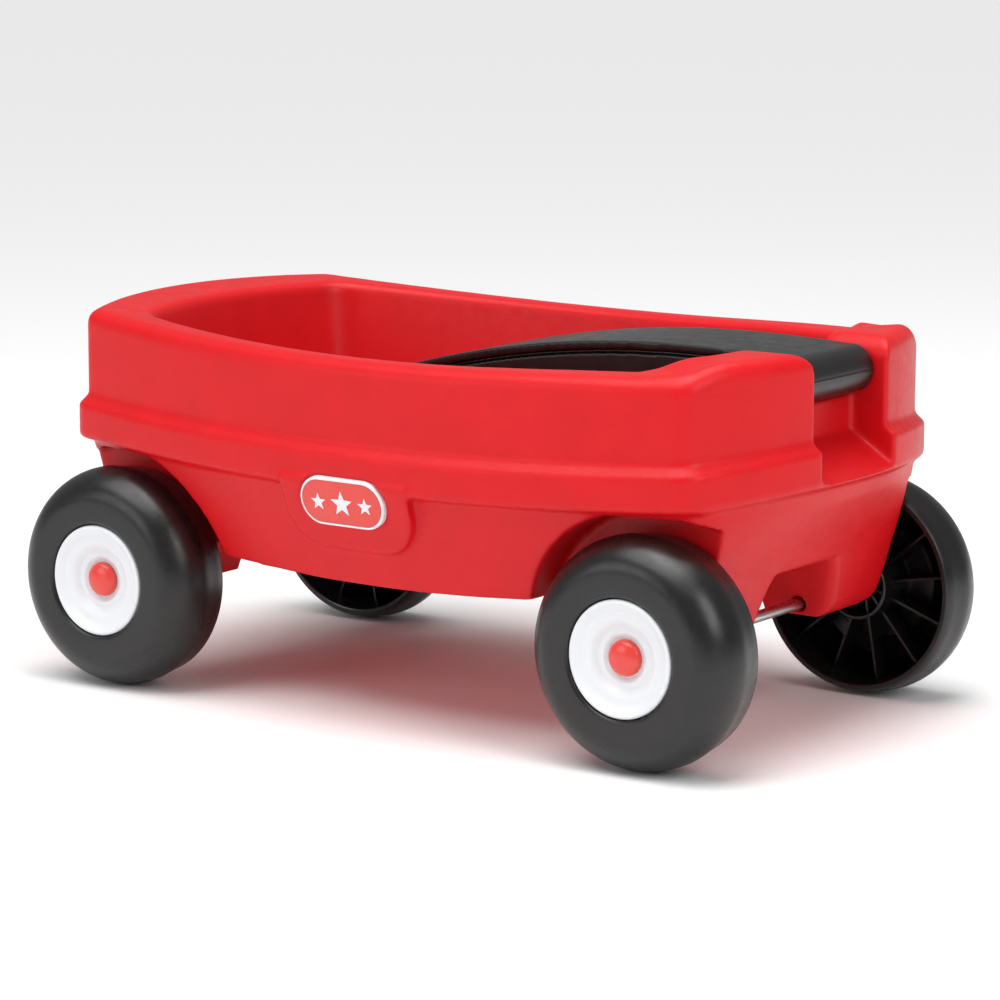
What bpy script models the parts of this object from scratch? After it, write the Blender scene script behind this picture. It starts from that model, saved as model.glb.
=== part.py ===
"""Child's pull wagon: a hollow moulded tub on two steel axles, four wheels and a folding handle.

Metres, +Z up, ground at Z = 0. +X is the front, where the handle folds out, and +Y is the left side.
The origin is on the ground under the middle of the tub.
"""

import math

import bmesh
import bpy
from mathutils import Matrix, Vector

# Gaps
GAP = 0.0003
WALL = 0.003

# Wheels and axles
WHEELBASE = 0.4412
AXLE_Z = 0.078
AXLE_RADIUS = 0.004
WHEEL_RADIUS = AXLE_Z
WHEEL_WIDTH = 0.0516
WHEEL_OUTER_Y = 0.1748
WHEEL_SHOULDER = 0.70 * WHEEL_RADIUS
TREAD_WALL = 0.004
HUB_RADIUS = 0.0392
HUB_RECESS = 0.013
BOSS_RADIUS = 0.0245
BOSS_DEPTH = 0.050
HUB_TUBE_RADIUS = 0.0115
HUB_TUBE_INNER_Y = 0.1200
RIB_COUNT = 12
RIB_THICKNESS = 0.0024
CAP_RADIUS = 0.0122
WHEEL_SEGMENTS = 28
SMALL_SEGMENTS = 16

# Tub plan at the rim
TUB_FRONT = 0.2914
TUB_REAR = -0.291
TUB_HALF_WIDTH = 0.1733
WIDEST_X = 0.016
BELT_PROUD = 0.007

# Tub heights above the ground, at mid length
FOOT_Z = 0.0695
SKIRT_LOW_Z = 0.081
PANEL_BOTTOM_Z = 0.0962
BELT_BOTTOM_Z = 0.166
BELT_TOP_Z = 0.189
RIM_Z = 0.2525
RIM_BOW = 0.204
RIM_SIDE_RISE = 0.005
HORN_RISE = 0.010
FRONT_CROWN = 0.0045
REAR_BOW_SHARE = 0.77
CAVITY_FLOOR_Z = 0.121
CAVITY_DRAFT = 0.021
SKIRT_LEVELS = (0.0, 0.4, 0.7, 0.85)

# Wheel wells and feet
WELL_RADIUS = 0.092
WELL_INNER_Y = 0.1180
WELL_CEILING_Z = 0.1665
FOOT_HALF_LENGTH = 0.030
TUNNEL_HALF_WIDTH = 0.040
TUNNEL_TOP_Z = 0.1145

# Handle and its notch between the two horns
PIVOT_X = 0.2633
PIVOT_Z = 0.2458
HANDLE_HALF_WIDTH = 0.043
HANDLE_END_RADIUS = 0.0165
HANDLE_REAR_X = -0.125
GRIP_LENGTH = 0.056
GRIP_WIDTH = 0.032
HANDLE_CREST_X = 0.185
HANDLE_CREST_Z = 0.2643
PIVOT_ROD_RADIUS = 0.004
PIVOT_ROD_HALF_LENGTH = 0.060
NOTCH_HALF_WIDTH = 0.046
SADDLE_Z = 0.2278
NOTCH_BACK_X = 0.260

# Side badges
BADGE_X = 0.001
BADGE_Z = 0.1572
BADGE_LENGTH = 0.070
BADGE_HEIGHT = 0.034
BADGE_THICKNESS = 0.0045
BADGE_FACE_Y = 0.179
BADGE_LEAN = 0.2

RED = (0.72, 0.012, 0.018, 1)
BRIGHT_RED = (0.80, 0.035, 0.03, 1)
BLACK = (0.012, 0.012, 0.013, 1)
WHITE = (0.86, 0.87, 0.90, 1)
STEEL = (0.56, 0.55, 0.53, 1)


def clear_scene():
    for obj in list(bpy.data.objects):
        bpy.data.objects.remove(obj, do_unlink=True)


def new_collection(name):
    collection = bpy.data.collections.new(name)
    bpy.context.scene.collection.children.link(collection)
    return collection


def plastic(name, colour, roughness, metallic=0.0):
    material = bpy.data.materials.new(name)
    material.use_nodes = True
    shader = material.node_tree.nodes["Principled BSDF"]
    shader.inputs["Base Color"].default_value = colour
    shader.inputs["Roughness"].default_value = roughness
    shader.inputs["Metallic"].default_value = metallic
    return material


def add_object(name, mesh, material):
    """Link a finished mesh as a visible sub-part."""
    obj = bpy.data.objects.new(name, mesh)
    mesh.materials.append(material)
    PARTS.objects.link(obj)
    return obj


def add_cutter(name, mesh):
    obj = bpy.data.objects.new(name, mesh)
    obj.hide_render = True
    obj.display_type = "WIRE"
    CUTTERS.objects.link(obj)
    return obj


def boolean(obj, tool, operation="DIFFERENCE"):
    modifier = obj.modifiers.new(tool.name, "BOOLEAN")
    modifier.operation = operation
    modifier.solver = "EXACT"
    modifier.object = tool


def merge_slivers(obj):
    """Close up the hair-thin edges that crossing cuts can leave."""
    weld = obj.modifiers.new("weld", "WELD")
    weld.merge_threshold = 0.00003


def mesh_from(bm, name, smooth=True):
    bmesh.ops.recalc_face_normals(bm, faces=bm.faces)
    mesh = bpy.data.meshes.new(name)
    bm.to_mesh(mesh)
    bm.free()
    if smooth:
        mesh.shade_smooth()
        mesh.set_sharp_from_angle(angle=math.radians(35))
    return mesh


def loft(name, rings):
    """Closed solid through rings with equal point counts, capped by its first and last ring.

    Every side face is split along the same diagonal, so a hollow stays parallel to the shape around it.
    """
    bm = bmesh.new()
    loops = [[bm.verts.new(point) for point in ring] for ring in rings]
    count = len(rings[0])
    for low, high in zip(loops, loops[1:]):
        for i in range(count):
            j = (i + 1) % count
            bm.faces.new((low[i], low[j], high[j]))
            bm.faces.new((low[i], high[j], high[i]))
    bm.faces.new(loops[0])
    bm.faces.new(loops[-1])
    return mesh_from(bm, name)


def prism(name, outline, low_y, high_y):
    """Solid between two Y planes; low_y and high_y are numbers or functions of (x, z)."""

    def level(value, x, z):
        return value(x, z) if callable(value) else value

    rings = [[(x, level(y, x, z), z) for x, z in outline] for y in (low_y, high_y)]
    return loft(name, rings)


def turned(name, profile, segments):
    """Closed (radius, y) profile turned about the Y axis, with a flat facet at the top and bottom."""
    bm = bmesh.new()
    rings = []
    outward = 1 / math.cos(math.pi / segments)
    for i in range(segments):
        angle = 2 * math.pi * (i + 0.5) / segments
        x = outward * math.cos(angle)
        z = outward * math.sin(angle)
        rings.append([bm.verts.new((r * x, y, r * z)) for r, y in profile])
    count = len(profile)
    ends_on_axis = profile[0][0] == 0 and profile[-1][0] == 0
    for i in range(segments):
        ring, following = rings[i], rings[(i + 1) % segments]
        for k in range(count - 1 if ends_on_axis else count):
            n = (k + 1) % count
            bm.faces.new((ring[k], ring[n], following[n], following[k]))
    bmesh.ops.remove_doubles(bm, verts=bm.verts, dist=0.000001)
    return mesh_from(bm, name)


def cylinder(name, radius, low_y, high_y, x=0.0, z=0.0, segments=SMALL_SEGMENTS):
    bm = bmesh.new()
    bmesh.ops.create_cone(
        bm, cap_ends=True, segments=segments, radius1=radius, radius2=radius, depth=high_y - low_y
    )
    bmesh.ops.rotate(bm, verts=bm.verts, cent=(0, 0, 0), matrix=Matrix.Rotation(math.pi / 2, 3, "X"))
    bmesh.ops.translate(bm, verts=bm.verts, vec=(x, (low_y + high_y) / 2, z))
    return mesh_from(bm, name)


def arc(centre_x, centre_z, radius, start, end, steps):
    """Points on an arc, angles in degrees."""
    points = []
    for i in range(steps + 1):
        angle = math.radians(start + (end - start) * i / steps)
        points.append((centre_x + radius * math.cos(angle), centre_z + radius * math.sin(angle)))
    return points


# ---- tub ----


def circles_meet(first, first_radius, second, second_radius, towards):
    """The crossing of two circles that lies furthest towards +X (1) or -X (-1)."""
    dx = second[0] - first[0]
    dy = second[1] - first[1]
    distance = math.hypot(dx, dy)
    along = (first_radius**2 - second_radius**2 + distance**2) / (2 * distance)
    across = math.sqrt(max(first_radius**2 - along**2, 0.0))
    middle = (first[0] + along * dx / distance, first[1] + along * dy / distance)
    options = [
        (middle[0] + side * across * dy / distance, middle[1] - side * across * dx / distance)
        for side in (-1, 1)
    ]
    return max(options, key=lambda point: point[0] * towards)


def plan(half_width, ends, end_radii, corners, side_radius=1.05, widest=WIDEST_X):
    """Tub outline seen from above: two side arcs and two end arcs joined by round corners.

    ends, end_radii and corners each give the front value, then the rear one.
    """
    side_centre = (widest, half_width - side_radius)
    front, rear = ends
    front_radius, rear_radius = end_radii

    def corner_arc(end_centre, end_radius, corner, towards):
        centre = circles_meet(
            side_centre, side_radius - corner, (end_centre, 0.0), end_radius - corner, towards
        )
        side_angle = math.atan2(centre[1] - side_centre[1], centre[0] - side_centre[0])
        end_angle = math.atan2(centre[1], centre[0] - end_centre)
        return centre, math.degrees(side_angle), math.degrees(end_angle)

    front_centre = front - front_radius
    rear_centre = rear + rear_radius
    front_corner, front_side, front_end = corner_arc(front_centre, front_radius, corners[0], 1)
    rear_corner, rear_side, rear_end = corner_arc(rear_centre, rear_radius, corners[1], -1)
    half = arc(front_centre, 0.0, front_radius, 0, front_end, 6)
    half += arc(*front_corner, corners[0], front_end, front_side, 3)[1:]
    half += arc(*side_centre, side_radius, front_side, rear_side, 10)[1:]
    half += arc(*rear_corner, corners[1], rear_side, rear_end, 3)[1:]
    half += arc(rear_centre, 0.0, rear_radius, rear_end, 180, 6)[1:]
    return half + [(x, -y) for x, y in reversed(half[1:-1])]


def lift(x, bow, crown):
    """Height that a moulded line gains towards the ends, with an extra rise across the front."""
    distance = x - WIDEST_X
    if distance < 0:
        bow *= REAR_BOW_SHARE
    rise = min(max((x - 0.262) / 0.034, 0.0), 1.0)
    return bow * distance**2 + crown * rise


def ring(outline, height, bow=0.0, crown=0.0):
    return [(x, y, height + lift(x, bow, crown)) for x, y in outline]


def ease(value):
    """Smooth step from 0 to 1."""
    value = min(max(value, 0.0), 1.0)
    return value * value * (3 - 2 * value)


def rim_lift(x, y):
    """Rise of the rim: bowed along the sides, level near the front corners, highest at the horns."""
    distance = x - WIDEST_X
    if distance < 0:
        return REAR_BOW_SHARE * RIM_BOW * distance**2
    along_side = RIM_SIDE_RISE * math.tanh(RIM_BOW * distance**2 / RIM_SIDE_RISE)
    at_front = ease((x - 0.20) / 0.035) * ease((0.155 - abs(y)) / 0.045)
    return along_side + HORN_RISE * at_front


def rim_ring(outline, height):
    return [(x, y, height + rim_lift(x, y)) for x, y in outline]


def wall_plan(grow):
    """Outline of the wall above the belt, grown or shrunk evenly."""
    ends = (TUB_FRONT + grow, TUB_REAR - grow)
    end_radii = (0.302 + grow, 0.301 + grow)
    corners = (0.0215 + grow, 0.012 + grow)
    return plan(TUB_HALF_WIDTH + grow, ends, end_radii, corners, 1.078 + grow)


def skirt_plan(level, inset=0.0):
    """Outline below the belt; level runs from 0 at the feet to 1 under the belt."""
    foot_y = 0.12
    reach_at_foot = 0.2450 + 0.026 * level - 0.0035 * level**2
    bulge = 0.0012 + 0.0196 * max(0.0, (level - 0.4) / 0.6) ** 1.3
    end_radius = foot_y**2 / (2 * bulge)
    reach = reach_at_foot + bulge - inset
    half_width = 0.143 + 0.0280 * level**0.9
    corner = max(0.010 + 0.024 * level - inset, 0.003)
    return plan(half_width - inset, (reach, -reach), (end_radius, end_radius), (corner, corner))


def cavity_plan(grow):
    """Outline of the load space at the rim, grown or shrunk evenly."""
    ends = (0.238 + grow, -0.240 - grow)
    corner = 0.030 + grow
    return plan(0.147 + grow, ends, (0.60 + grow, 0.35 + grow), (corner, corner), 0.70, 0.0)


def tub_rings():
    skirt_top = BELT_BOTTOM_Z - 0.002
    rings = [ring(skirt_plan(0.0, 0.012), FOOT_Z), ring(skirt_plan(0.0, 0.004), SKIRT_LOW_Z - 0.006)]
    for level in SKIRT_LEVELS:
        height = SKIRT_LOW_Z + level * (skirt_top - SKIRT_LOW_Z)
        rings.append(ring(skirt_plan(level), height, 0.11 * level))
    rings.append(ring(skirt_plan(1.0), skirt_top, 0.11, FRONT_CROWN))
    rings.append(ring(wall_plan(BELT_PROUD - 0.002), BELT_BOTTOM_Z, 0.11, FRONT_CROWN))
    rings.append(ring(wall_plan(BELT_PROUD), BELT_BOTTOM_Z + 0.002, 0.11, FRONT_CROWN))
    rings.append(ring(wall_plan(BELT_PROUD), BELT_TOP_Z, 0.12, FRONT_CROWN))
    rings.append(ring(wall_plan(BELT_PROUD - 0.003), BELT_TOP_Z + 0.004, 0.12, FRONT_CROWN))
    rings.append(ring(wall_plan(0.0), BELT_TOP_Z + 0.008, 0.12, FRONT_CROWN))
    rings.append(rim_ring(wall_plan(0.0), RIM_Z - 0.006))
    rings.append(rim_ring(wall_plan(-0.0018), RIM_Z - 0.0018))
    rings.append(rim_ring(wall_plan(-0.006), RIM_Z))
    rings.append(rim_ring(cavity_plan(0.008), RIM_Z))
    rings.append(rim_ring(cavity_plan(0.0025), RIM_Z - 0.0025))
    rings.append(rim_ring(cavity_plan(0.0), RIM_Z - 0.008))
    rings.append(ring(cavity_plan(-CAVITY_DRAFT + 0.002), CAVITY_FLOOR_Z + 0.009))
    rings.append(ring(cavity_plan(-CAVITY_DRAFT - 0.001), CAVITY_FLOOR_Z + 0.003))
    rings.append(ring(cavity_plan(-CAVITY_DRAFT - 0.008), CAVITY_FLOOR_Z))
    return rings


def void_rings():
    """Inside of the hollow double wall, one wall thickness in from every outer surface."""
    skirt_top = BELT_BOTTOM_Z - 0.002
    rings = [ring(skirt_plan(0.0, 0.0185), FOOT_Z + WALL)]
    for level in SKIRT_LEVELS:
        height = SKIRT_LOW_Z + level * (skirt_top - SKIRT_LOW_Z)
        rings.append(ring(skirt_plan(level, WALL), height, 0.11 * level))
    rings.append(ring(skirt_plan(1.0, WALL), skirt_top + WALL, 0.11, FRONT_CROWN))
    rings.append(ring(wall_plan(BELT_PROUD - WALL), BELT_BOTTOM_Z + 2 * WALL, 0.11, FRONT_CROWN))
    rings.append(ring(wall_plan(BELT_PROUD - WALL), BELT_TOP_Z - WALL, 0.12, FRONT_CROWN))
    rings.append(ring(wall_plan(-WALL), BELT_TOP_Z + 0.005, 0.12, FRONT_CROWN))
    rings.append(rim_ring(wall_plan(-WALL), RIM_Z - 0.009))
    rings.append(rim_ring(wall_plan(-0.009), RIM_Z - WALL))
    rings.append(rim_ring(cavity_plan(0.009), RIM_Z - WALL))
    rings.append(rim_ring(cavity_plan(0.003), RIM_Z - 0.010))
    rings.append(ring(cavity_plan(-CAVITY_DRAFT + 0.002 + WALL), CAVITY_FLOOR_Z + 0.008))
    rings.append(ring(cavity_plan(-CAVITY_DRAFT + 0.002), CAVITY_FLOOR_Z + 0.0005))
    rings.append(ring(cavity_plan(-CAVITY_DRAFT - 0.007), CAVITY_FLOOR_Z - WALL))
    return rings


def well_mesh(end, side, grow):
    """Arched wheel well with a flattened crown, open outwards and downwards."""
    radius = WELL_RADIUS + grow
    lowest = 0.02
    crest = math.degrees(math.asin((WELL_CEILING_Z + grow - AXLE_Z) / radius))
    outline = [(radius, lowest)]
    outline += arc(0.0, AXLE_Z, radius, 0, crest, 8)
    outline += arc(0.0, AXLE_Z, radius, 180 - crest, 180, 8)
    outline.append((-radius, lowest))
    outline = [(end * (WHEELBASE / 2 + x), z) for x, z in outline]

    def inner(_, z):
        return side * (WELL_INNER_Y - grow + 0.02 * (z - AXLE_Z))

    return prism("well", outline, inner, side * 0.25)


def underside_mesh(grow):
    """Space under the middle of the tub, between the front and rear feet."""
    reach = WHEELBASE / 2 - FOOT_HALF_LENGTH + grow
    sag = 0.0105
    outline = [(-reach - 0.008, 0.02), (-reach + 0.004, PANEL_BOTTOM_Z + sag + grow)]
    steps = 6
    for i in range(1, steps):
        x = (reach - 0.004) * (2 * i / steps - 1)
        outline.append((x, PANEL_BOTTOM_Z + grow + sag * (x / reach) ** 2))
    outline += [(reach - 0.004, PANEL_BOTTOM_Z + sag + grow), (reach + 0.008, 0.02)]
    return prism("underside", outline, -0.25, 0.25)


def tunnel_mesh(end, grow):
    """Arch between the two feet at one end, narrower at its top."""
    section = [
        (TUNNEL_HALF_WIDTH + 0.0135 + grow, 0.06),
        (TUNNEL_HALF_WIDTH + grow, TUNNEL_TOP_Z - 0.006 + grow),
        (TUNNEL_HALF_WIDTH - 0.005, TUNNEL_TOP_Z + grow),
    ]
    section += [(-y, z) for y, z in reversed(section)]
    inboard = WHEELBASE / 2 - FOOT_HALF_LENGTH - 0.02 - grow
    rings = [[(end * x, y, z) for y, z in section] for x in (inboard, 0.34)]
    return loft("tunnel", rings)


def notch_mesh(grow):
    """Slot for the handle: a saddle over the wall, then a ramp down to the front lip."""
    outline = [
        (0.20, SADDLE_Z - grow),
        (NOTCH_BACK_X - grow, SADDLE_Z - grow),
        (NOTCH_BACK_X - grow, 0.204 - grow),
        (0.320, 0.1645 - grow),
        (0.320, 0.30),
        (0.20, 0.30),
    ]
    width = NOTCH_HALF_WIDTH + grow
    return prism("notch", outline, -width, width)


def shield_face(z):
    """Leaning outer face of the raised panel behind a badge, as a distance from the centre plane."""
    return 0.1806 - 0.36 * (BELT_BOTTOM_Z + 0.002 - z)


def shield_outline():
    """Raised panel below the belt: straight top, rounded lower corners."""
    half, corner, bottom = 0.053, 0.030, 0.1225
    top = BELT_BOTTOM_Z + 0.006
    outline = [(BADGE_X + half, top)]
    outline += arc(BADGE_X + half - corner, bottom + corner, corner, 0, -90, 5)
    outline += arc(BADGE_X - half + corner, bottom + corner, corner, -90, -180, 5)
    outline.append((BADGE_X - half, top))
    return outline


def pill(length, height):
    """Pill outline centred on the origin, long along X."""
    radius = height / 2
    straight = length / 2 - radius
    return arc(straight, 0.0, radius, -90, 90, 8) + arc(-straight, 0.0, radius, 90, 270, 8)


def place_on_side(mesh, side):
    """Lean a plate modelled in the XZ plane, front face at y = 0, and put it on one side of the tub."""
    lean = Matrix.Rotation(-math.atan(BADGE_LEAN), 4, "X")
    mesh.transform(Matrix.Translation((BADGE_X, BADGE_FACE_Y, BADGE_Z)) @ lean)
    if side < 0:
        mesh.transform(Matrix.Scale(-1, 4, (0, 1, 0)))
        mesh.flip_normals()


def build_tub(material):
    tub = add_object("wagon_tub", loft("wagon_tub", tub_rings()), material)
    hollow = add_cutter("hollow", loft("hollow", void_rings()))
    for side in (1, -1):
        panel = prism(
            "panel",
            shield_outline(),
            side * 0.140,
            lambda _, z, s=side: s * shield_face(z),
        )
        boolean(tub, add_cutter(f"panel_{side}", panel), "UNION")

    for end in (1, -1):
        for side in (1, -1):
            boolean(tub, add_cutter("well", well_mesh(end, side, 0.0)))
            boolean(hollow, add_cutter("well_skin", well_mesh(end, side, WALL)))
        boolean(tub, add_cutter("tunnel", tunnel_mesh(end, 0.0)))
        boolean(hollow, add_cutter("tunnel_skin", tunnel_mesh(end, WALL)))
        hole = cylinder("axle_hole", AXLE_RADIUS + GAP, -0.2, 0.2, end * WHEELBASE / 2, AXLE_Z)
        sleeve = cylinder("axle_sleeve", AXLE_RADIUS + 0.004, -0.2, 0.2, end * WHEELBASE / 2, AXLE_Z)
        boolean(tub, add_cutter("axle_hole", hole))
        boolean(hollow, add_cutter("axle_sleeve", sleeve))
    boolean(tub, add_cutter("underside", underside_mesh(0.0)))
    boolean(hollow, add_cutter("underside_skin", underside_mesh(WALL)))
    boolean(tub, add_cutter("notch", notch_mesh(0.0)))
    boolean(hollow, add_cutter("notch_skin", notch_mesh(WALL)))

    depth = PIVOT_ROD_HALF_LENGTH + GAP
    rod_hole = cylinder("rod_hole", PIVOT_ROD_RADIUS + GAP, -depth, depth, PIVOT_X, PIVOT_Z)
    reach = depth + WALL
    rod_sleeve = cylinder("rod_sleeve", PIVOT_ROD_RADIUS + 0.004, -reach, reach, PIVOT_X, PIVOT_Z)
    boolean(hollow, add_cutter("rod_sleeve", rod_sleeve))
    for side in (1, -1):
        recess = prism("recess", pill(BADGE_LENGTH + 0.002, BADGE_HEIGHT + 0.002), -0.0049, 0.02)
        place_on_side(recess, side)
        boolean(tub, add_cutter("recess", recess))
        backing = prism("backing", pill(BADGE_LENGTH + 0.008, BADGE_HEIGHT + 0.008), -0.0079, 0.02)
        place_on_side(backing, side)
        boolean(hollow, add_cutter("backing", backing))
    boolean(tub, hollow)
    boolean(tub, add_cutter("rod_hole", rod_hole))
    vent_outline = arc(-0.05, 0.0, 0.003, 0, 330, 11)
    vent_rings = [[(x, y, height) for x, y in vent_outline] for height in (0.085, 0.104)]
    boolean(tub, add_cutter("vent", loft("vent", vent_rings)))
    merge_slivers(tub)


# ---- running gear ----


def wheel_profile():
    """Section of the moulded wheel: (radius, distance in from the outer face), without its recess."""
    shoulder_depth = 0.57 * WHEEL_WIDTH
    outer = [(0.0, 0.0), (WHEEL_SHOULDER, 0.0)]
    for i in range(1, 6):
        angle = math.pi / 2 * i / 5
        radius = WHEEL_SHOULDER + (WHEEL_RADIUS - WHEEL_SHOULDER) * math.sin(angle)
        outer.append((radius, shoulder_depth * (1 - math.cos(angle))))
    outer.append((WHEEL_RADIUS * 0.985, WHEEL_WIDTH - 0.006))
    outer.append((WHEEL_RADIUS * 0.95, WHEEL_WIDTH))
    inner = [
        (WHEEL_RADIUS * 0.95 - TREAD_WALL, WHEEL_WIDTH),
        (WHEEL_RADIUS - 2 * TREAD_WALL, WHEEL_WIDTH - 0.010),
        (WHEEL_RADIUS - 2 * TREAD_WALL, shoulder_depth),
        (WHEEL_SHOULDER + 0.006, 0.009),
        (HUB_RADIUS + 0.006, 0.006),
        (HUB_RADIUS + 0.005, HUB_RECESS + WALL),
        (BOSS_RADIUS, HUB_RECESS + WALL),
        (BOSS_RADIUS, BOSS_DEPTH),
        (BOSS_RADIUS - WALL, BOSS_DEPTH),
        (BOSS_RADIUS - WALL, HUB_RECESS + WALL),
        (HUB_TUBE_RADIUS, HUB_RECESS + WALL),
    ]
    tube_end = WHEEL_OUTER_Y - HUB_TUBE_INNER_Y
    return outer + inner + [(HUB_TUBE_RADIUS - 0.001, tube_end), (0.0, tube_end)]


def recess_profile():
    """Cutter for the seat of the hub disc, with a small lead-in at the wheel's face."""
    seat = HUB_RADIUS + 0.0008
    return [
        (0.0, -0.005),
        (seat + 0.0055, -0.005),
        (seat, 0.0015),
        (seat, HUB_RECESS),
        (0.0, HUB_RECESS),
    ]


def rib_star_mesh():
    """Radial ribs behind the wheel face, joined at the hub; recess and bore are cut afterwards.

    The ribs' outer ends follow the inside of the tyre, from the wheel's face to its open back.
    """
    inner = HUB_TUBE_RADIUS - 0.002
    tread = WHEEL_RADIUS - 1.1 * TREAD_WALL
    ends = (
        (WHEEL_SHOULDER, 0.0045),
        (0.82 * WHEEL_RADIUS, 0.009),
        (0.885 * WHEEL_RADIUS, 0.015),
        (tread, 0.030),
        (tread, WHEEL_WIDTH - 0.012),
    )
    root = math.sqrt(inner**2 - (RIB_THICKNESS / 2) ** 2)
    rings = []
    for outer, y in ends:
        points = []
        for i in range(RIB_COUNT):
            angle = 2 * math.pi * i / RIB_COUNT
            across = Vector((-math.sin(angle), math.cos(angle))) * RIB_THICKNESS / 2
            along = Vector((math.cos(angle), math.sin(angle)))
            corners = (along * root - across, along * outer - across)
            points += [*corners, along * outer + across, along * root + across]
        rings.append([(point.x, y, point.y) for point in points])
    return loft("ribs", rings)


def hub_disc_profile():
    """Dished white disc with a rolled edge and a raised ring around the cap."""
    edge = HUB_RADIUS
    back = HUB_RECESS - GAP
    return [
        (CAP_RADIUS - 0.003, back),
        (CAP_RADIUS - 0.003, back - 0.003),
        (CAP_RADIUS + 0.002, back - 0.003),
        (0.020, back - 0.005),
        (0.027, back - 0.0085),
        (0.033, back - 0.0095),
        (edge - 0.002, 0.0012),
        (edge, 0.0025),
        (edge, back),
    ]


def cap_profile():
    """Domed cap, hollow behind so that it clears the axle end and its push nut."""
    rim_y = HUB_RECESS - WALL - 2 * GAP
    dome = []
    for i in range(5):
        angle = math.radians(90 * i / 4)
        dome.append((CAP_RADIUS * math.sin(angle), rim_y - 0.0022 - 0.0052 * math.cos(angle)))
    inner = CAP_RADIUS - 0.002
    return dome + [
        (CAP_RADIUS, rim_y),
        (inner, rim_y),
        (inner, rim_y - 0.003),
        (inner * 0.6, rim_y - 0.0052),
        (0.0, rim_y - 0.0055),
    ]


def push_nut_profile():
    rim_y = HUB_RECESS - WALL - 2 * GAP
    return [
        (AXLE_RADIUS + GAP, rim_y + 0.0008),
        (AXLE_RADIUS + GAP, rim_y),
        (0.0085, rim_y),
        (0.0085, rim_y + 0.0008),
    ]


def build_wheels(materials):
    """Four wheels, each modelled with its outer face at y = 0 and its back towards +y."""
    shapes = {
        "wheel": (turned("wheel", wheel_profile(), WHEEL_SEGMENTS), materials["black"]),
        "hub_disc": (turned("hub_disc", hub_disc_profile(), WHEEL_SEGMENTS), materials["white"]),
        "axle_cap": (turned("axle_cap", cap_profile(), SMALL_SEGMENTS), materials["bright_red"]),
        "push_nut": (turned("push_nut", push_nut_profile(), SMALL_SEGMENTS), materials["steel"]),
    }
    tools = [
        (rib_star_mesh(), "UNION"),
        (turned("recess", recess_profile(), WHEEL_SEGMENTS), "DIFFERENCE"),
        (cylinder("wheel_bore", AXLE_RADIUS + GAP, -0.01, 0.08), "DIFFERENCE"),
    ]
    for end_name, end in (("front", 1), ("rear", -1)):
        for side_name, side in (("left", 1), ("right", -1)):
            pose = Matrix.Translation((end * WHEELBASE / 2, side * WHEEL_OUTER_Y, AXLE_Z))
            if side > 0:
                pose = pose @ Matrix.Rotation(math.pi, 4, "Z")
            for kind, (mesh, material) in shapes.items():
                if not mesh.materials:
                    mesh.materials.append(material)
                obj = bpy.data.objects.new(f"{kind}_{end_name}_{side_name}", mesh)
                PARTS.objects.link(obj)
                obj.matrix_world = pose
                if kind == "wheel":
                    for tool_mesh, operation in tools:
                        tool = add_cutter(tool_mesh.name, tool_mesh)
                        tool.matrix_world = pose
                        boolean(obj, tool, operation)


def build_axles(material):
    half = WHEEL_OUTER_Y - HUB_RECESS + WALL + 0.0035
    for name, end in (("axle_front", 1), ("axle_rear", -1)):
        rod = cylinder(name, AXLE_RADIUS, -half, half)
        axle = add_object(name, rod, material)
        axle.location = (end * WHEELBASE / 2, 0, AXLE_Z)


# ---- handle ----


def handle_top(x):
    steep = 0.62 if x < HANDLE_CREST_X else 0.35
    return HANDLE_CREST_Z - steep * (x - HANDLE_CREST_X) ** 2


def handle_thickness(x):
    return 0.024 + 0.008 * max(0.0, min((x - 0.05) / 0.15, 1.0))


def handle_outline(inset):
    """Side view of the arched handle, round at the pivot, full at the grip."""
    steps = 12
    xs = [HANDLE_REAR_X + 0.008 + (0.245 - HANDLE_REAR_X - 0.008) * i / steps for i in range(steps + 1)]
    top = [(x, handle_top(x) - inset) for x in xs]
    bottom = [(x, handle_top(x) - handle_thickness(x) + inset) for x in xs]
    nose = arc(PIVOT_X, PIVOT_Z, HANDLE_END_RADIUS - inset, 80, -95, 9)
    rear = HANDLE_REAR_X + inset
    middle = (top[0][1] + bottom[0][1]) / 2
    tip = [(rear, middle - 0.006 + inset * 0.3), (rear, middle + 0.006 - inset * 0.3)]
    return top + nose + list(reversed(bottom)) + tip


def handle_section(name, half_width, inset):
    return prism(name, handle_outline(inset), -half_width, half_width)


def upright_pill(name, centre_x, length, width):
    """Upright pill-shaped solid through the handle, long along Y."""
    outline = [(centre_x + v, u) for u, v in pill(length, width)]
    return loft(name, [[(x, y, z) for x, y in outline] for z in (0.15, 0.30)])


def rounded_plan_mesh(grow):
    """Seen from above: straight sides and a round grip end, tall enough to trim the handle."""
    half = HANDLE_HALF_WIDTH - grow
    radius = 0.030 - grow
    rear = HANDLE_REAR_X + grow
    outline = [(0.33, -half), (0.33, half)]
    outline += arc(rear + radius, half - radius, radius, 90, 180, 7)
    outline += arc(rear + radius, -half + radius, radius, 180, 270, 7)
    return loft("handle_plan", [[(x, y, z) for x, y in outline] for z in (0.10, 0.32)])


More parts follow.
